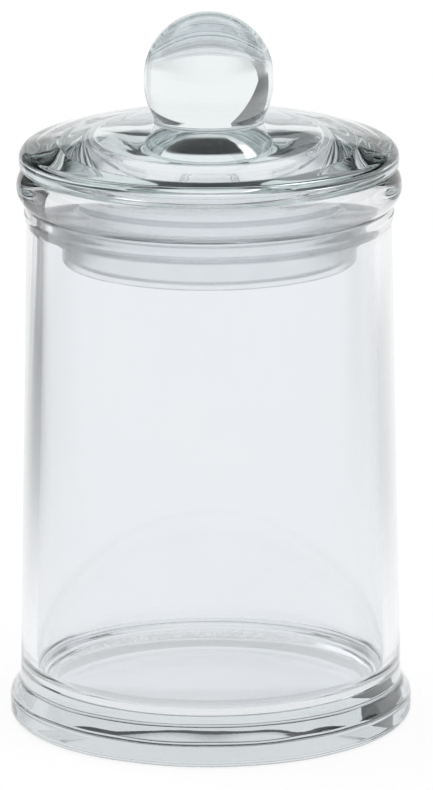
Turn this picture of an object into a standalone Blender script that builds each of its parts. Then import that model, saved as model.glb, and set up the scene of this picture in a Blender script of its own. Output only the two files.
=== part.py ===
"""Glass specimen jar: a blown jar, a domed glass lid with a ball knob, and a ribbed seal on the lid's plug.

Units are metres, +Z is up, and the origin is the centre of the foot's underside. Every piece is
turned about the Z axis, which is also the axis that the lid lifts along and turns about.
"""

import math

import bpy

MM = 0.001

# Turning and rounding
SEGMENTS = 48  # facets round the axis
ARC_STEP = 22.5  # degrees between two points of a rounded corner
BALL_STEP = 12.5  # degrees between two rings of the ball
SHARP_ANGLE = math.radians(40)
MERGE = 0.01 * MM  # closes the ends of a turned outline on the axis
GAP = 0.3 * MM  # clearance between two pieces that touch

# Jar, outside
FOOT_R = 37.5 * MM
FOOT_EDGE_FILLET = 1.8 * MM
FOOT_SHOULDER_Z = 4.7 * MM
FOOT_SHOULDER_FILLET = 2.5 * MM
WALL_FOOT_R = 35.55 * MM
WALL_FOOT_Z = 7.7 * MM
WALL_TOP_R = 33.8 * MM
WALL_TOP_Z = 94.5 * MM
LOWER_BEAD_R = 34.3 * MM
LOWER_BEAD_Z = 96.5 * MM
LOWER_BEAD_FILLET = 2.0 * MM
NECK_GROOVE_R = 33.9 * MM
NECK_GROOVE_Z = 98.1 * MM
RIM_Z = 105.0 * MM
RIM_BEAD_CENTRE = (31.6 * MM, 101.6 * MM)
RIM_BEAD_R = 4.05 * MM
RIM_BEAD_ANGLES = (57, -57)  # from the rim's top face down to the groove

# Jar, inside and underside
BORE_R = 30.6 * MM
BORE_FOOT_Z = 93.0 * MM
BORE_FOOT_FILLET = 6.0 * MM
RIM_INNER_FILLET = 1.4 * MM
FLOOR_Z = 8.2 * MM
FLOOR_R = 32.6 * MM
FLOOR_FILLET = 3.5 * MM
STANDING_RING_R = 30.0 * MM  # inner radius of the flat ring that the jar stands on
PUSH_UP_R = 27.0 * MM
PUSH_UP_Z = 1.2 * MM
PUSH_UP_FILLET = 2.0 * MM

# Lid
LID_UNDER_Z = RIM_Z + GAP
LID_R = 35.15 * MM
LID_EDGE_Z = 109.0 * MM
LID_LOWER_FILLET = 1.0 * MM
LID_UPPER_FILLET = 2.2 * MM
DOME_FOOT_R = 33.5 * MM
DOME_CURVE_R = 105.0 * MM
DOME_STEPS = 4
KNOB_SEAT_R = 10.0 * MM
PLUG_R = 25.7 * MM
PLUG_END_Z = 88.8 * MM
PLUG_END_FILLET = 1.2 * MM
HOLLOW_MOUTH_R = 23.3 * MM
HOLLOW_TOP_R = 21.7 * MM
HOLLOW_TOP_Z = 106.3 * MM
HOLLOW_FILLET = 2.1 * MM

# Ball knob: two hemispheres a little apart
BALL_R = 12.0 * MM
BALL_STRETCH = 1.2 * MM
BALL_TOP_Z = 134.0 * MM

# Seal
SEAL_BORE_R = PLUG_R + GAP
SEAL_TOP_Z = RIM_Z
SEAL_STEP_Z = 94.4 * MM
SEAL_END_Z = 88.2 * MM
SEAL_END_R = 27.2 * MM
SEAL_END_FILLET = 0.5 * MM
SEAL_ROOT_R = 29.3 * MM
SEAL_RIB_R = BORE_R - GAP
SEAL_RIBS = 5
SEAL_RIB_HALF = 0.25 * MM  # half of a rib's flat crest


def clear_scene():
    for obj in list(bpy.data.objects):
        bpy.data.objects.remove(obj, do_unlink=True)


def material(name, colour, roughness, transmission):
    made = bpy.data.materials.new(name)
    made.use_nodes = True
    shader = made.node_tree.nodes["Principled BSDF"]
    shader.inputs["Base Color"].default_value = (*colour, 1.0)
    shader.inputs["Roughness"].default_value = roughness
    shader.inputs["Metallic"].default_value = 0.0
    shader.inputs["Transmission Weight"].default_value = transmission
    made.diffuse_color = (*colour, 1.0)
    return made


def arc(centre, radius, start, end, step=ARC_STEP):
    """Points on an arc in the (r, z) plane, from the start angle to the end angle in degrees."""
    count = max(1, math.ceil(abs(end - start) / step))
    points = []
    for index in range(count + 1):
        angle = math.radians(start + (end - start) * index / count)
        points.append((centre[0] + radius * math.cos(angle), centre[1] + radius * math.sin(angle)))
    return points


def fillet(before, corner, after, radius):
    """The arc of this radius that rounds a corner between its two neighbours."""
    to_before = math.atan2(before[1] - corner[1], before[0] - corner[0])
    to_after = math.atan2(after[1] - corner[1], after[0] - corner[0])
    opening = (to_after - to_before + math.pi) % math.tau - math.pi
    bisector = to_before + opening / 2
    reach = radius / math.sin(abs(opening) / 2)
    centre = (corner[0] + reach * math.cos(bisector), corner[1] + reach * math.sin(bisector))
    turn = math.copysign(math.pi - abs(opening), opening)
    middle = math.degrees(bisector + math.pi)
    half = math.degrees(turn) / 2
    return arc(centre, radius, middle + half, middle - half)


def rounded(corners):
    """An outline through corners (r, z, fillet radius), with its inner corners rounded."""
    points = [corners[0][:2]]
    for before, corner, after in zip(corners, corners[1:], corners[2:]):
        if corner[2]:
            points += fillet(before, corner, after, corner[2])
        else:
            points.append(corner[:2])
    points.append(corners[-1][:2])
    return points


def turned(name, outline, finish, origin_z, closed=False, parent=None):
    """A solid turned about Z from an (r, z) outline, with the object's origin on the axis at origin_z."""
    mesh = bpy.data.meshes.new(name)
    points = [(r, 0.0, z - origin_z) for r, z in outline]
    edges = [(index, index + 1) for index in range(len(points) - 1)]
    if closed:
        edges.append((len(points) - 1, 0))
    mesh.from_pydata(points, edges, [])
    mesh.materials.append(finish)
    obj = bpy.data.objects.new(name, mesh)
    bpy.context.scene.collection.objects.link(obj)
    if parent:
        obj.parent = parent
        origin_z -= parent.matrix_world.translation.z
    obj.location.z = origin_z
    screw = obj.modifiers.new("Turn", "SCREW")
    screw.axis = "Z"
    screw.steps = SEGMENTS
    screw.render_steps = SEGMENTS
    screw.use_merge_vertices = True
    screw.merge_threshold = MERGE
    shade_round(obj)
    return obj


def shade_round(obj):
    """Applies the modifiers, so that the turned faces can be shaded smooth up to their sharp edges."""
    bpy.context.view_layer.update()
    graph = bpy.context.evaluated_depsgraph_get()
    solid = bpy.data.meshes.new_from_object(obj.evaluated_get(graph))
    obj.modifiers.clear()
    obj.data = solid
    solid.shade_smooth()
    solid.set_sharp_from_angle(angle=SHARP_ANGLE)


def jar_outline():
    """From the centre of the floor up the inside, over the rim, down the outside and under the foot."""
    inside = rounded([
        (0.0, FLOOR_Z, 0),
        (FLOOR_R, FLOOR_Z, FLOOR_FILLET),
        (BORE_R, BORE_FOOT_Z, BORE_FOOT_FILLET),
        (BORE_R, RIM_Z, RIM_INNER_FILLET),
        (RIM_BEAD_CENTRE[0] + RIM_INNER_FILLET, RIM_Z, 0),
    ])
    rim_bead = arc(RIM_BEAD_CENTRE, RIM_BEAD_R, *RIM_BEAD_ANGLES)
    outside = rounded([
        (NECK_GROOVE_R, NECK_GROOVE_Z, 0),
        (LOWER_BEAD_R, LOWER_BEAD_Z, LOWER_BEAD_FILLET),
        (WALL_TOP_R, WALL_TOP_Z, 0),
        (WALL_FOOT_R, WALL_FOOT_Z, 0),
        (FOOT_R, FOOT_SHOULDER_Z, FOOT_SHOULDER_FILLET),
        (FOOT_R, 0.0, FOOT_EDGE_FILLET),
        (STANDING_RING_R, 0.0, 0),
        (PUSH_UP_R, PUSH_UP_Z, PUSH_UP_FILLET),
        (0.0, PUSH_UP_Z, 0),
    ])
    return inside + rim_bead + outside


def dome_z(radius):
    """Height of the lid's domed top face."""
    return LID_EDGE_Z + (DOME_FOOT_R**2 - radius**2) / (2 * DOME_CURVE_R)


def lid_outline():
    """From the knob's seat over the dome and the edge, along the underside, and round the hollow plug."""
    dome = [(0.0, dome_z(KNOB_SEAT_R))]
    for step in range(DOME_STEPS):
        radius = KNOB_SEAT_R + (DOME_FOOT_R - KNOB_SEAT_R) * step / DOME_STEPS
        dome.append((radius, dome_z(radius)))
    edge = rounded([
        (DOME_FOOT_R, LID_EDGE_Z, 0),
        (LID_R, dome_z(LID_R), LID_UPPER_FILLET),
        (LID_R, LID_UNDER_Z, LID_LOWER_FILLET),
        (PLUG_R, LID_UNDER_Z, 0),
        (PLUG_R, PLUG_END_Z, PLUG_END_FILLET),
        (HOLLOW_MOUTH_R, PLUG_END_Z, PLUG_END_FILLET / 2),
        (HOLLOW_TOP_R, HOLLOW_TOP_Z, HOLLOW_FILLET),
        (0.0, HOLLOW_TOP_Z, 0),
    ])
    return dome + edge


def knob_outline():
    """From the top of the ball down to the flat that sits on the lid."""
    upper = (0.0, BALL_TOP_Z - BALL_R)
    lower = (0.0, upper[1] - BALL_STRETCH)
    seat_z = dome_z(KNOB_SEAT_R) + GAP
    seat_angle = math.degrees(math.asin((seat_z - lower[1]) / BALL_R))
    ball = arc(upper, BALL_R, 90, 0, BALL_STEP) + arc(lower, BALL_R, 0, seat_angle, BALL_STEP)
    ball[0] = (0.0, BALL_TOP_Z)
    return ball + [(0.0, seat_z)]


def seal_outline():
    """A closed ring: down the ribbed side that grips the jar, in at the step, and round the plain end."""
    pitch = (SEAL_TOP_Z - SEAL_STEP_Z) / SEAL_RIBS
    ribs = []
    for index in range(SEAL_RIBS):
        crest = SEAL_TOP_Z - pitch * (index + 0.5)
        ribs += [
            (SEAL_RIB_R, crest + SEAL_RIB_HALF),
            (SEAL_RIB_R, crest - SEAL_RIB_HALF),
            (SEAL_ROOT_R, crest - pitch / 2),
        ]
    lower = rounded([
        (SEAL_END_R, SEAL_STEP_Z, 0),
        (SEAL_END_R, SEAL_END_Z, SEAL_END_FILLET),
        (SEAL_BORE_R, SEAL_END_Z, 0),
    ])
    return [(SEAL_BORE_R, SEAL_TOP_Z), (SEAL_ROOT_R, SEAL_TOP_Z)] + ribs + lower


def build():
    clear_scene()
    glass = material("clear_glass", (0.93, 0.96, 0.95), 0.03, 1.0)
    lid_glass = material("lid_clear_glass", (0.93, 0.96, 0.95), 0.02, 1.0)
    knob_glass = material("knob_clear_glass", (0.94, 0.96, 0.96), 0.02, 1.0)
    milky = material("milky_silicone", (0.84, 0.86, 0.87), 0.45, 0.3)

    lid_motion = bpy.data.objects.new("lid_motion_axis", None)
    lid_motion.location.z = RIM_Z
    bpy.context.scene.collection.objects.link(lid_motion)
    bpy.context.view_layer.update()

    turned("jar_body", jar_outline(), glass, 0.0)
    turned("seal_sleeve", seal_outline(), milky, SEAL_END_Z, closed=True, parent=lid_motion)
    lid = turned("lid_disc", lid_outline(), lid_glass, LID_UNDER_Z, parent=lid_motion)
    bpy.context.view_layer.update()
    turned("ball_knob", knob_outline(), knob_glass, dome_z(KNOB_SEAT_R) + GAP, parent=lid)


build()
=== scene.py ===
"""Looks of the glass specimen jar: turned glass, a milky ribbed seal, soft studio light and the camera."""

import math

import bpy
from mathutils import Matrix, Vector, noise

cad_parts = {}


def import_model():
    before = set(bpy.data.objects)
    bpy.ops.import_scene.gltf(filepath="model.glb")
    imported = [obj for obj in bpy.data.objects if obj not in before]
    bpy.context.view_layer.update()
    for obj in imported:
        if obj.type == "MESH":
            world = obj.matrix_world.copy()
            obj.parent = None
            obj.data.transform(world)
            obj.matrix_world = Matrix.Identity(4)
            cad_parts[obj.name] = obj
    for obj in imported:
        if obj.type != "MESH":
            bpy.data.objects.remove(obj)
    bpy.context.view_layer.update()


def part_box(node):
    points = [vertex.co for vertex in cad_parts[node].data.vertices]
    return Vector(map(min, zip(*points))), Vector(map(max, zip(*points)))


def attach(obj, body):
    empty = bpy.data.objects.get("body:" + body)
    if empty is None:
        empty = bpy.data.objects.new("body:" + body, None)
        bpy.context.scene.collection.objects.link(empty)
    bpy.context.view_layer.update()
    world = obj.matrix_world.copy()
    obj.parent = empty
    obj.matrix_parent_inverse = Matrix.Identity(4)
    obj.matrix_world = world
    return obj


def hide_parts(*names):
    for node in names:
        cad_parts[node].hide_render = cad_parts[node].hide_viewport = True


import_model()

MM = 0.001

# The frame's own sizes
_, JAR_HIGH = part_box("jar_body")
LID_LOW, LID_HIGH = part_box("lid_disc")
_, KNOB_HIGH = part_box("ball_knob")
SEAL_LOW, SEAL_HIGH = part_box("seal_sleeve")
FOOT_R = JAR_HIGH.x
RIM_Z = JAR_HIGH.z
LID_R = LID_HIGH.x
LID_UNDER_Z = RIM_Z + 0.02 * MM  # a hair clear of the rim
LID_EDGE_Z = RIM_Z + 4.0 * MM
PLUG_END_Z = LID_LOW.z
BALL_R = KNOB_HIGH.x
BALL_TOP_Z = KNOB_HIGH.z
SEAL_TOP_Z = SEAL_HIGH.z
SEAL_END_Z = SEAL_LOW.z

# Turning
SEGMENTS = 192
ARC_STEP = 7.5  # degrees between two points of a rounded corner
WALL_STEP = 2.5 * MM  # longest straight stretch between two rings
SAME_POINT = 0.01 * MM  # points closer than this count as one
SHARP_ANGLE = math.radians(50)

# Waves that shift the glass in and out. A wave's size is its noise scale (round the axis, along it per metre)
JAR_WAVE = 0.05 * MM
LID_WAVE = 0.03 * MM
SLOW_WAVE = (1.6, 28.0)
FOOT_WAVE = 0.22 * MM
FOOT_WAVE_SIZE = (4.0, 90.0)
FOOT_WAVE_TOP = 14.0 * MM
FOOT_WAVE_FADE = 8.0 * MM  # the height over which the foot's wave comes in
FOOT_WAVE_SKIN = 1.0 * MM  # the depth over which it leaves the outermost skin round


def arc(centre, radius, start, end):
    """Points on an arc in the (r, z) plane, from the start angle to the end angle in degrees."""
    count = max(2, math.ceil(abs(end - start) / ARC_STEP))
    points = []
    for index in range(count + 1):
        angle = math.radians(start + (end - start) * index / count)
        points.append((centre[0] + radius * math.cos(angle), centre[1] + radius * math.sin(angle)))
    return points


def fillet(before, corner, after, radius):
    """The arc of this radius that rounds a corner between its two neighbours."""
    to_before = math.atan2(before[1] - corner[1], before[0] - corner[0])
    to_after = math.atan2(after[1] - corner[1], after[0] - corner[0])
    opening = (to_after - to_before + math.pi) % math.tau - math.pi
    bisector = to_before + opening / 2
    reach = radius / math.sin(abs(opening) / 2)
    centre = (corner[0] + reach * math.cos(bisector), corner[1] + reach * math.sin(bisector))
    half = math.degrees(math.copysign(math.pi - abs(opening), opening)) / 2
    middle = math.degrees(bisector + math.pi)
    return arc(centre, radius, middle + half, middle - half)


def rounded(corners):
    """An outline through corners (r, z, fillet radius), with its inner corners rounded."""
    points = [corners[0][:2]]
    for before, corner, after in zip(corners, corners[1:], corners[2:]):
        if corner[2]:
            points += fillet(before, corner, after, corner[2])
        else:
            points.append(corner[:2])
    points.append(corners[-1][:2])
    return points


def divided(outline):
    """The outline with its long straight stretches cut into short ones."""
    points = [outline[0]]
    for end in outline[1:]:
        start = points[-1]
        length = math.dist(start, end)
        if length < SAME_POINT:
            continue
        count = max(1, math.ceil(length / WALL_STEP))
        for index in range(1, count + 1):
            share = index / count
            points.append(tuple(a + (b - a) * share for a, b in zip(start, end)))
    return points


def clamped(share):
    return max(0.0, min(1.0, share))


def wave_at(x, y, z, size):
    """Smooth noise at height z in the direction (x, y) from the axis."""
    around, along = size
    return noise.noise(Vector((x * around, y * around, z * along)))


def foot_wave(x, y, z, r):
    """The uneven flow of the glass in the jar's foot, gone above it and at its outermost skin."""
    share = clamped((FOOT_WAVE_TOP - z) / FOOT_WAVE_FADE)
    share *= share * (3 - 2 * share)
    share *= clamped((FOOT_R - r) / FOOT_WAVE_SKIN)
    return FOOT_WAVE * share * wave_at(x, y, z, FOOT_WAVE_SIZE)


def turned(name, outline, closed=False, wave=0.0, foot=None):
    """A fine solid turned about Z from an (r, z) outline, with a slow radial wave and the foot's own wave."""
    outline = divided(outline + outline[:1] if closed else outline)
    if closed:
        outline = outline[:-1]
    rings = []
    points = []
    for r, z in outline:
        if r < SAME_POINT:
            rings.append([len(points)] * SEGMENTS)
            points.append((0.0, 0.0, z))
            continue
        rings.append(list(range(len(points), len(points) + SEGMENTS)))
        for index in range(SEGMENTS):
            angle = math.tau * index / SEGMENTS
            x, y = math.cos(angle), math.sin(angle)
            push = wave * wave_at(x, y, z, SLOW_WAVE)
            if foot:
                push += foot(x, y, z, r)
            points.append(((r + push) * x, (r + push) * y, z))
    faces = []
    pairs = list(zip(rings, rings[1:]))
    if closed:
        pairs.append((rings[-1], rings[0]))
    for upper, lower in pairs:
        for index in range(SEGMENTS):
            after = (index + 1) % SEGMENTS
            face = [upper[index], lower[index], lower[after], upper[after]]
            faces.append(tuple(dict.fromkeys(face)))
    mesh = bpy.data.meshes.new(name)
    mesh.from_pydata(points, [], faces)
    mesh.validate()
    mesh.shade_smooth()
    mesh.set_sharp_from_angle(angle=SHARP_ANGLE)
    obj = bpy.data.objects.new(name, mesh)
    bpy.context.scene.collection.objects.link(obj)
    return obj


# Jar section
WALL_FOOT = (35.55 * MM, 7.7 * MM)
WALL_TOP = (33.8 * MM, 94.5 * MM)
BORE_R = 30.6 * MM
BORE_FOOT_Z = 93.0 * MM
FLOOR_Z = 8.2 * MM
FLOOR_R = 32.6 * MM
FLOOR_FILLET = 4.0 * MM
RIM_BEAD_CENTRE = (31.6 * MM, 101.6 * MM)
RIM_BEAD_R = 4.05 * MM
RIM_BEAD_SPAN = (57, -52)  # degrees above and below the horizontal
NECK_BEAD_R = 34.3 * MM
FOOT_SHOULDER_Z = 4.7 * MM
STANDING_R = 30.0 * MM
PUSH_UP_Z = 0.3 * MM
UNDER_RINGS = 12


def jar_outline():
    """From the middle of the inner floor up the bore, over the rim and down to the middle below."""
    inside = rounded([
        (0.0, FLOOR_Z, 0),
        (FLOOR_R, FLOOR_Z, FLOOR_FILLET),
        (BORE_R, BORE_FOOT_Z, 60 * MM),
        (BORE_R, RIM_Z, 1.4 * MM),
        (33.0 * MM, RIM_Z, 0),
    ])
    rim_bead = arc(RIM_BEAD_CENTRE, RIM_BEAD_R, *RIM_BEAD_SPAN)
    outside = rounded([
        (34.1 * MM, 98.4 * MM, 0),
        (33.95 * MM, 98.0 * MM, 0.3 * MM),
        (NECK_BEAD_R, 96.5 * MM, 2.0 * MM),
        (*WALL_TOP, 1.5 * MM),
        (*WALL_FOOT, 1.6 * MM),
        (FOOT_R, FOOT_SHOULDER_Z, 2.5 * MM),
        (FOOT_R, 0.0, 1.8 * MM),
        (STANDING_R, 0.0, 0),
    ])
    underside = []
    for index in range(1, UNDER_RINGS + 1):
        r = STANDING_R * (1 - index / UNDER_RINGS)
        underside.append((r, PUSH_UP_Z * (1 - (r / STANDING_R) ** 2)))
    return inside + rim_bead + outside + underside


# Lid section
DOME_FOOT_R = 33.5 * MM
DOME_CURVE_R = 105.0 * MM
DOME_RINGS = [r * MM for r in range(15, 31)]
DOME_TOP_R = 14.0 * MM
DOME_END_R = 31.0 * MM
LID_UPPER_FILLET = 2.2 * MM
LID_LOWER_FILLET = 1.0 * MM
KNOB_NECK_R = 10.0 * MM
PLUG_R = 25.98 * MM
HOLLOW_MOUTH_R = 23.3 * MM
HOLLOW_TOP_R = 21.7 * MM
HOLLOW_TOP_Z = 106.3 * MM
BALL_STRETCH = 1.2 * MM
BALL_END = -31  # degrees below the horizontal, where the ball meets its neck


def dome_z(radius):
    """The height of the lid's top at this radius."""
    return LID_EDGE_Z + (DOME_FOOT_R**2 - radius**2) / (2 * DOME_CURVE_R)


def lid_outline():
    """From the top of the ball, over the dome and the edge, down the plug and up its hollow to the middle."""
    upper = (0.0, BALL_TOP_Z - BALL_R)
    lower = (0.0, upper[1] - BALL_STRETCH)
    ball = arc(upper, BALL_R, 90, 0) + arc(lower, BALL_R, 0, BALL_END)
    ball[0] = (0.0, BALL_TOP_Z)
    neck = rounded([
        ball[-1] + (0,),
        (KNOB_NECK_R, dome_z(KNOB_NECK_R) - 0.1 * MM, 0.5 * MM),
        (DOME_TOP_R, dome_z(DOME_TOP_R), 0),
    ])
    dome = [(r, dome_z(r)) for r in DOME_RINGS]
    edge = rounded([
        (DOME_END_R, dome_z(DOME_END_R), 0),
        (LID_R, dome_z(LID_R), LID_UPPER_FILLET),
        (LID_R, LID_UNDER_Z, LID_LOWER_FILLET),
        (PLUG_R, LID_UNDER_Z, 0.6 * MM),
        (PLUG_R, PLUG_END_Z, 1.2 * MM),
        (HOLLOW_MOUTH_R, PLUG_END_Z, 0.9 * MM),
        (HOLLOW_TOP_R, HOLLOW_TOP_Z, 2.1 * MM),
        (0.0, HOLLOW_TOP_Z, 0),
    ])
    return ball + neck + dome + edge


# Seal section
SEAL_BORE_R = 26.0 * MM
SEAL_STEP_Z = 94.4 * MM
SEAL_END_R = 27.2 * MM
SEAL_ROOT_R = 30.05 * MM
SEAL_RIB_R = 30.55 * MM
SEAL_RIBS = 5
SEAL_CREST = 0.3 * MM  # half the flat on a rib
SEAL_ROUND = 0.2 * MM


def seal_outline():
    """A closed outline: the ribs going down, the plain end and the bore."""
    pitch = (SEAL_TOP_Z - SEAL_STEP_Z) / SEAL_RIBS
    ribs = []
    for index in range(SEAL_RIBS):
        crest = SEAL_TOP_Z - pitch * (index + 0.5)
        ribs += [
            (SEAL_RIB_R, crest + SEAL_CREST, SEAL_ROUND),
            (SEAL_RIB_R, crest - SEAL_CREST, SEAL_ROUND),
            (SEAL_ROOT_R, crest - pitch / 2, SEAL_ROUND),
        ]
    corners = [(SEAL_BORE_R, SEAL_TOP_Z - 0.4 * MM, 0), (SEAL_BORE_R, SEAL_TOP_Z, 0.3 * MM)]
    corners += [(SEAL_ROOT_R, SEAL_TOP_Z, SEAL_ROUND)] + ribs
    corners += [
        (SEAL_END_R, SEAL_STEP_Z, 0.5 * MM),
        (SEAL_END_R, SEAL_END_Z, 0.5 * MM),
        (SEAL_BORE_R, SEAL_END_Z, 0.3 * MM),
        (SEAL_BORE_R, SEAL_END_Z + 0.6 * MM, 0),
    ]
    return rounded(corners)


# Materials. A noise is (scale, detail, roughness), and a range is the part of its values that counts
GLASSES = {
    "jar": dict(
        tint=(0.922, 0.932, 0.946),
        veil=(0.905, 0.922, 0.94),
        depth=(0.26, 0.35, 0.37),
        density=6.0,
    ),
    "lid": dict(
        tint=(0.957, 0.965, 0.973),
        veil=(0.935, 0.95, 0.965),
        depth=(0.5, 0.66, 0.65),
        density=9.0,
    ),
}
GLASS_IOR = 1.52
VEIL_NOISE = (45.0, 3.0, 0.5)
CLOUD_RANGE = (0.35, 0.7)
SMUDGE_NOISE = (90.0, 5.0, 0.6)
SMUDGE_RANGE = (0.56, 0.72)
SMUDGE_ROUGHNESS = (0.0, 0.045)
WAVE_STRETCH = (1.0, 1.0, 0.55)
WAVE_NOISE = (60.0, 2.0, 0.5)
WAVE_BUMP = 0.012 * MM
LINE_STRETCH = (0.04, 0.04, 1.0)
LINE_NOISE = (420.0, 2.0, 0.5)
LINE_BUMP = 0.0012 * MM
PEEL_NOISE = (900.0, 1.0, 0.5)
PEEL_BUMP = 0.0004 * MM
SEAL_IOR = 1.42
SEAL_TRANSMISSION = 0.98
SEAL_CLEAR = (0.99, 0.993, 0.996)
SEAL_CLOUD = (0.97, 0.975, 0.98)
SEAL_CLOUD_NOISE = (130.0, 4.0, 0.5)
SKIN_NOISE = (260.0, 4.0, 0.5)
SKIN_RANGE = (0.3, 0.7)
SKIN_ROUGHNESS = (0.15, 0.24)
DRAG_STRETCH = (0.03, 0.03, 1.0)
DRAG_NOISE = (900.0, 3.0, 0.5)
DRAG_BUMP = 0.006 * MM
GRAIN_NOISE = (1500.0, 3.0, 0.5)
GRAIN_BUMP = 0.0015 * MM
WHITE = (1.0, 1.0, 1.0, 1.0)


def node(tree, kind, **inputs):
    """A new node with these inputs set, where _ in a name stands for a space."""
    made = tree.nodes.new(kind)
    for name, value in inputs.items():
        made.inputs[name.replace("_", " ")].default_value = value
    return made


def noise_of(tree, vector, settings):
    scale, detail, roughness = settings
    made = node(tree, "ShaderNodeTexNoise", Scale=scale, Detail=detail, Roughness=roughness)
    tree.links.new(vector, made.inputs["Vector"])
    return made.outputs["Fac"]


def stretched(tree, vector, scale):
    """The coordinates scaled by a different amount on each axis."""
    made = node(tree, "ShaderNodeMapping", Scale=scale)
    tree.links.new(vector, made.inputs["Vector"])
    return made.outputs["Vector"]


def bump(tree, height, distance, below=None):
    """A normal that lifts the surface by this distance, on top of another normal if one is given."""
    made = node(tree, "ShaderNodeBump", Strength=1.0, Distance=distance)
    tree.links.new(height, made.inputs["Height"])
    if below:
        tree.links.new(below, made.inputs["Normal"])
    return made.outputs["Normal"]


def blend(tree, share, first, second):
    """A colour between two, by the share."""
    made = tree.nodes.new("ShaderNodeMix")
    made.data_type = "RGBA"
    tree.links.new(share, made.inputs["Factor"])
    made.inputs["A"].default_value = (*first, 1.0)
    made.inputs["B"].default_value = (*second, 1.0)
    return made.outputs["Result"]


def ranged(tree, value, span, result=(0.0, 1.0)):
    """The value's place in the span, turned into a number in the result's range."""
    made = node(
        tree,
        "ShaderNodeMapRange",
        From_Min=span[0],
        From_Max=span[1],
        To_Min=result[0],
        To_Max=result[1],
    )
    tree.links.new(value, made.inputs["Value"])
    return made.outputs["Result"]


def glass_material(name, tint, veil, depth, density):
    """Pressed soda glass: thin veils, a few smudges, slow waves, turning lines and a fine orange peel."""
    made = bpy.data.materials.new(name)
    made.use_nodes = True
    tree = made.node_tree
    shader = tree.nodes["Principled BSDF"]
    shader.inputs["IOR"].default_value = GLASS_IOR
    shader.inputs["Transmission Weight"].default_value = 1.0
    place = node(tree, "ShaderNodeTexCoord").outputs["Object"]
    veils = ranged(tree, noise_of(tree, place, VEIL_NOISE), CLOUD_RANGE)
    tree.links.new(blend(tree, veils, tint, veil), shader.inputs["Base Color"])
    smudges = ranged(tree, noise_of(tree, place, SMUDGE_NOISE), SMUDGE_RANGE, SMUDGE_ROUGHNESS)
    tree.links.new(smudges, shader.inputs["Roughness"])
    waves = bump(tree, noise_of(tree, stretched(tree, place, WAVE_STRETCH), WAVE_NOISE), WAVE_BUMP)
    lines = noise_of(tree, stretched(tree, place, LINE_STRETCH), LINE_NOISE)
    lined = bump(tree, lines, LINE_BUMP, waves)
    peel = bump(tree, noise_of(tree, place, PEEL_NOISE), PEEL_BUMP, lined)
    tree.links.new(peel, shader.inputs["Normal"])
    volume = node(tree, "ShaderNodeVolumeAbsorption", Color=(*depth, 1.0), Density=density)
    tree.links.new(volume.outputs["Volume"], tree.nodes["Material Output"].inputs["Volume"])
    return made


def seal_material():
    """Soft milky silicone: cloudy colour and a satin skin with fine drag lines and grain."""
    made = bpy.data.materials.new("milky_seal")
    made.use_nodes = True
    tree = made.node_tree
    shader = tree.nodes["Principled BSDF"]
    shader.inputs["IOR"].default_value = SEAL_IOR
    shader.inputs["Transmission Weight"].default_value = SEAL_TRANSMISSION
    place = node(tree, "ShaderNodeTexCoord").outputs["Object"]
    clouds = ranged(tree, noise_of(tree, place, SEAL_CLOUD_NOISE), CLOUD_RANGE)
    tree.links.new(blend(tree, clouds, SEAL_CLEAR, SEAL_CLOUD), shader.inputs["Base Color"])
    skin = ranged(tree, noise_of(tree, place, SKIN_NOISE), SKIN_RANGE, SKIN_ROUGHNESS)
    tree.links.new(skin, shader.inputs["Roughness"])
    drag = bump(tree, noise_of(tree, stretched(tree, place, DRAG_STRETCH), DRAG_NOISE), DRAG_BUMP)
    grain = bump(tree, noise_of(tree, place, GRAIN_NOISE), GRAIN_BUMP, drag)
    tree.links.new(grain, shader.inputs["Normal"])
    return made


# Surroundings
FLOOR_REACH = 30.0
FLOOR_SIDES = 64
FLOOR_GREY = (0.28, 0.28, 0.28, 1.0)
FLOOR_ROUGHNESS = 0.9
FLOOR_GLOW = 0.84

# Patches of the world: sides in radians from straight back, heights as the direction's z, edge softness
DARK_WALL = ((-1.9, 1.9), (0.32, 0.56), 0.03)
SHADE = ((-0.55, 1.1), (0.72, 0.93), 0.03)
CORNER = ((-2.7, -1.8), (-1.0, 0.9), 0.3)
SOFTBOX = ((-0.85, -0.5), (0.6, 0.82), 0.03)
DARK_WALL_DEPTH = 0.9
SHADE_DEPTH = 0.98
CORNER_DEPTH = 0.6
SOFTBOX_LIGHT = 1.2
FRONT_LIGHT = 0.77
BACK_LIGHT = 0.23  # what the back wall has beyond the front's
BACK_SPAN = (-0.3, 0.6)  # the direction's y over which the front turns into the back


def backdrop():
    """A pale round floor with a soft glow of its own."""
    mesh = bpy.data.meshes.new("floor")
    ring = []
    for index in range(FLOOR_SIDES):
        angle = math.tau * index / FLOOR_SIDES
        ring.append((FLOOR_REACH * math.cos(angle), FLOOR_REACH * math.sin(angle), 0.0))
    mesh.from_pydata(ring, [], [tuple(range(FLOOR_SIDES))])
    floor = bpy.data.objects.new("floor", mesh)
    bpy.context.scene.collection.objects.link(floor)
    made = bpy.data.materials.new("pale_floor")
    made.use_nodes = True
    shader = made.node_tree.nodes["Principled BSDF"]
    shader.inputs["Base Color"].default_value = FLOOR_GREY
    shader.inputs["Roughness"].default_value = FLOOR_ROUGHNESS
    shader.inputs["Specular IOR Level"].default_value = 0.0
    shader.inputs["Emission Color"].default_value = WHITE
    shader.inputs["Emission Strength"].default_value = FLOOR_GLOW
    mesh.materials.append(made)


def maths(tree, operation, first, second):
    """A Math node's result, for two values that are plain numbers or sockets."""
    made = tree.nodes.new("ShaderNodeMath")
    made.operation = operation
    for socket, value in zip(made.inputs, (first, second)):
        if isinstance(value, float):
            socket.default_value = value
        else:
            tree.links.new(value, socket)
    return made.outputs[0]


def step(tree, value, start, end):
    """0 before start and 1 after end, turning smoothly between them."""
    made = tree.nodes.new("ShaderNodeMapRange")
    made.interpolation_type = "SMOOTHSTEP"
    made.inputs["From Min"].default_value = start
    made.inputs["From Max"].default_value = end
    tree.links.new(value, made.inputs["Value"])
    return made.outputs["Result"]


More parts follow.
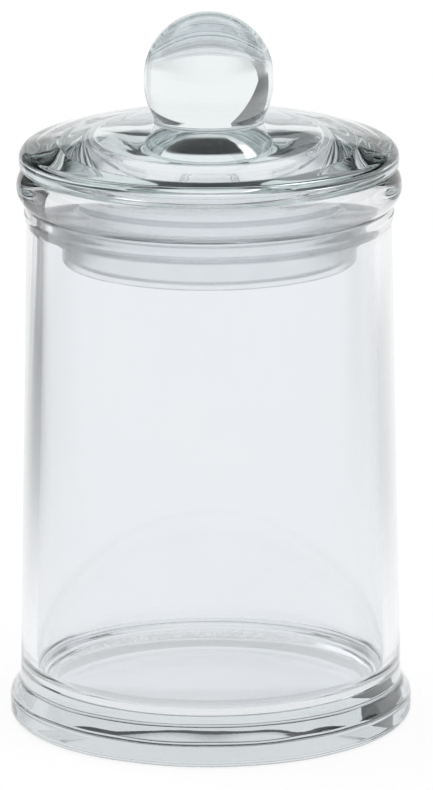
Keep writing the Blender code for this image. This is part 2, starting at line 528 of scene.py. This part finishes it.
def product(tree, *values):
    total = values[0]
    for value in values[1:]:
        total = maths(tree, "MULTIPLY", total, value)
    return total


def patch(tree, across, up, place):
    """1 inside a rectangle of directions, with soft edges."""
    sides, heights, soft = place
    left = step(tree, across, sides[0] - soft, sides[0] + soft)
    right = step(tree, across, sides[1] + soft, sides[1] - soft)
    low = step(tree, up, heights[0] - soft / 2, heights[0] + soft / 2)
    high = step(tree, up, heights[1] + soft, heights[1] - soft)
    return product(tree, left, right, low, high)


def world():
    """Soft studio walls that are lighter at the back, with dark patches and one bright softbox overhead."""
    made = bpy.data.worlds.new("studio")
    bpy.context.scene.world = made
    made.use_nodes = True
    tree = made.node_tree
    background = tree.nodes["Background"]
    where = node(tree, "ShaderNodeTexCoord")
    split = node(tree, "ShaderNodeSeparateXYZ")
    tree.links.new(where.outputs["Generated"], split.inputs["Vector"])
    x, y, z = split.outputs
    azimuth = maths(tree, "ARCTAN2", x, y)
    back = step(tree, y, *BACK_SPAN)
    walls = maths(tree, "ADD", product(tree, back, BACK_LIGHT), FRONT_LIGHT)
    dark_wall = product(tree, patch(tree, azimuth, z, DARK_WALL), DARK_WALL_DEPTH)
    shade = product(tree, patch(tree, azimuth, z, SHADE), SHADE_DEPTH)
    corner = product(tree, patch(tree, azimuth, z, CORNER), CORNER_DEPTH)
    dark = maths(tree, "MAXIMUM", maths(tree, "MAXIMUM", dark_wall, shade), corner)
    lit = product(tree, walls, maths(tree, "SUBTRACT", 1.0, dark))
    softbox = product(tree, patch(tree, azimuth, z, SOFTBOX), SOFTBOX_LIGHT)
    total = maths(tree, "ADD", lit, softbox)
    tree.links.new(total, background.inputs["Strength"])
    background.inputs["Color"].default_value = WHITE


# Shading films that only the glass sees. A sweep is (distance from the jar's axis, height) outwards,
# and every angle is in degrees from straight back, with the left side negative
CARD_STEPS = 24
FLAG_SWEEP = ((0.16, 0.001), (0.36, 0.01), (0.38, 0.05), (0.38, 0.25))
FLAG_FAR_SIDE = -57
FLAG_NEAR_SIDES = (-20, -37, -38, -14)  # one for each point of the sweep
FLAG_NEAR_FADE = (-22, -40)  # where the part on the floor comes in
FLAG_FAR_FADE = (-57, -48)
FLAG_LIFT = (0.012, 0.04)  # heights over which its side turns from soft to sharp
# The share of light let through, by distance along the floor plus height
FLAG_TONES = ((0.16, 1.0), (0.27, 0.7), (0.37, 0.45), (0.43, 0.14), (0.47, 0.14), (0.52, 0.3))
EDGE_SWEEP = ((0.06, 0.0005), (0.5, 0.0005))
EDGE_FADE_IN = (0.08, 0.32)  # sideways plus backward distances over which an edge card darkens
EDGE_FADE_OUT = (0.6, 0.44)
# Name, far side, darkest angle, near side, and the share of light held back there
EDGE_CARDS = (
    ("left_edge_card", -72, -48, -6, 0.36),
    ("right_edge_card", 72, 48, 6, 0.22),
)


def card_sheet(name, sweep, far_side, near_sides):
    """A sheet that follows the sweep outwards, between its far side and its near sides."""
    points = []
    for index in range(CARD_STEPS + 1):
        for (r, z), side in zip(sweep, near_sides):
            angle = math.radians(far_side + (side - far_side) * index / CARD_STEPS)
            points.append((r * math.sin(angle), r * math.cos(angle), z))
    width = len(sweep)
    faces = []
    for index in range(CARD_STEPS):
        for column in range(width - 1):
            first = index * width + column
            faces.append((first, first + 1, first + width + 1, first + width))
    mesh = bpy.data.meshes.new(name)
    mesh.from_pydata(points, [], faces)
    card = bpy.data.objects.new(name, mesh)
    bpy.context.scene.collection.objects.link(card)
    card.visible_camera = False
    card.visible_diffuse = False
    card.visible_shadow = False
    return card


def card_material(name):
    """A clear film, its tree, and the socket for the share of light that it lets through."""
    made = bpy.data.materials.new(name)
    made.use_nodes = True
    tree = made.node_tree
    tree.nodes.remove(tree.nodes["Principled BSDF"])
    film = tree.nodes.new("ShaderNodeBsdfTransparent")
    tree.links.new(film.outputs["BSDF"], tree.nodes["Material Output"].inputs["Surface"])
    return made, tree, film.inputs["Color"]


def flag():
    """A grey sweep behind the jar's left side, dark where it stands up."""
    card = card_sheet("left_flag", FLAG_SWEEP, FLAG_FAR_SIDE, FLAG_NEAR_SIDES)
    made, tree, light = card_material("left_flag")
    place = tree.nodes.new("ShaderNodeTexCoord").outputs["Object"]
    flat = tree.nodes.new("ShaderNodeVectorMath")
    flat.operation = "MULTIPLY"
    flat.inputs[1].default_value = (1.0, 1.0, 0.0)  # the height left out
    tree.links.new(place, flat.inputs[0])
    reach = tree.nodes.new("ShaderNodeVectorMath")
    reach.operation = "LENGTH"
    tree.links.new(flat.outputs[0], reach.inputs[0])
    split = tree.nodes.new("ShaderNodeSeparateXYZ")
    tree.links.new(place, split.inputs["Vector"])
    along = maths(tree, "ADD", reach.outputs["Value"], split.outputs["Z"])
    tone = tree.nodes.new("ShaderNodeValToRGB")
    while len(tone.color_ramp.elements) < len(FLAG_TONES):
        tone.color_ramp.elements.new(0.5)  # it gets its own place below
    for element, (start, level) in zip(tone.color_ramp.elements, FLAG_TONES):
        element.position = start
        element.color = (level, level, level, 1.0)
    tree.links.new(along, tone.inputs["Fac"])
    x, y, z = split.outputs
    azimuth = maths(tree, "ARCTAN2", x, y)
    near = step(tree, azimuth, *map(math.radians, FLAG_NEAR_FADE))
    far = step(tree, azimuth, *map(math.radians, FLAG_FAR_FADE))
    cover = maths(tree, "MAXIMUM", product(tree, near, far), step(tree, z, *FLAG_LIFT))
    shade = tree.nodes.new("ShaderNodeMix")
    shade.data_type = "RGBA"
    shade.inputs["A"].default_value = WHITE
    tree.links.new(cover, shade.inputs["Factor"])
    tree.links.new(tone.outputs["Color"], shade.inputs["B"])
    tree.links.new(shade.outputs["Result"], light)
    card.data.materials.append(made)


def edge_cards():
    """Films on the floor at both sides that darken softly and draw the wall's two edges."""
    for name, far_side, middle, near_side, depth in EDGE_CARDS:
        card = card_sheet(name, EDGE_SWEEP, far_side, (near_side,) * len(EDGE_SWEEP))
        made, tree, light = card_material(name)
        place = tree.nodes.new("ShaderNodeTexCoord").outputs["Object"]
        split = tree.nodes.new("ShaderNodeSeparateXYZ")
        tree.links.new(place, split.inputs["Vector"])
        x, y, _ = split.outputs
        azimuth = maths(tree, "ARCTAN2", x, y)
        near = step(tree, azimuth, math.radians(near_side), math.radians(middle))
        far = step(tree, azimuth, math.radians(far_side), math.radians(middle))
        away = maths(tree, "ADD", maths(tree, "ABSOLUTE", x, 0.0), y)
        fade_in = step(tree, away, *EDGE_FADE_IN)
        fade_out = step(tree, away, *EDGE_FADE_OUT)
        shade = product(tree, near, far, fade_in, fade_out, depth)
        tree.links.new(maths(tree, "SUBTRACT", 1.0, shade), light)
        card.data.materials.append(made)


# Camera, in front of the jar and looking down at it
CAMERA_BACK = 1.634
CAMERA_HEIGHT = 0.4902
CAMERA_PITCH = 0.2567  # radians below the horizontal
CAMERA_ROLL = math.radians(-0.2)
SENSOR = 36.0  # mm
LENS = 414.319  # mm
SHIFT_X = 0.00848  # as a share of the frame's longer side
CLIP = (0.05, 100.0)


def camera():
    data = bpy.data.cameras.new("camera")
    data.lens = LENS
    data.sensor_width = SENSOR
    data.clip_start, data.clip_end = CLIP
    data.shift_x = SHIFT_X
    obj = bpy.data.objects.new("camera", data)
    bpy.context.scene.collection.objects.link(obj)
    obj.location = (0.0, -CAMERA_BACK, CAMERA_HEIGHT)
    look = Matrix.Rotation(math.pi / 2 - CAMERA_PITCH, 4, "X") @ Matrix.Rotation(CAMERA_ROLL, 4, "Z")
    obj.rotation_mode = "QUATERNION"
    obj.rotation_quaternion = look.to_quaternion()
    bpy.context.scene.camera = obj


# Light paths through many glass walls
PATH_BOUNCES = 24
GLOSSY_BOUNCES = 12


def build():
    jar = turned("jar_glass", jar_outline(), wave=JAR_WAVE, foot=foot_wave)
    jar.data.materials.append(glass_material("jar_clear_glass", **GLASSES["jar"]))
    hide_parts("jar_body")
    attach(jar, "jar")

    lid = turned("lid_glass", lid_outline(), wave=LID_WAVE)
    lid.data.materials.append(glass_material("lid_clear_glass", **GLASSES["lid"]))
    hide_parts("lid_disc", "ball_knob")
    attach(lid, "lid")

    seal = turned("seal_ribbed", seal_outline(), closed=True)
    seal.data.materials.append(seal_material())
    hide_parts("seal_sleeve")
    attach(seal, "seal")

    backdrop()
    world()
    camera()
    flag()
    edge_cards()
    scene = bpy.context.scene
    scene.view_settings.view_transform = "Standard"
    scene.cycles.max_bounces = PATH_BOUNCES
    scene.cycles.transmission_bounces = PATH_BOUNCES
    scene.cycles.glossy_bounces = GLOSSY_BOUNCES


build()
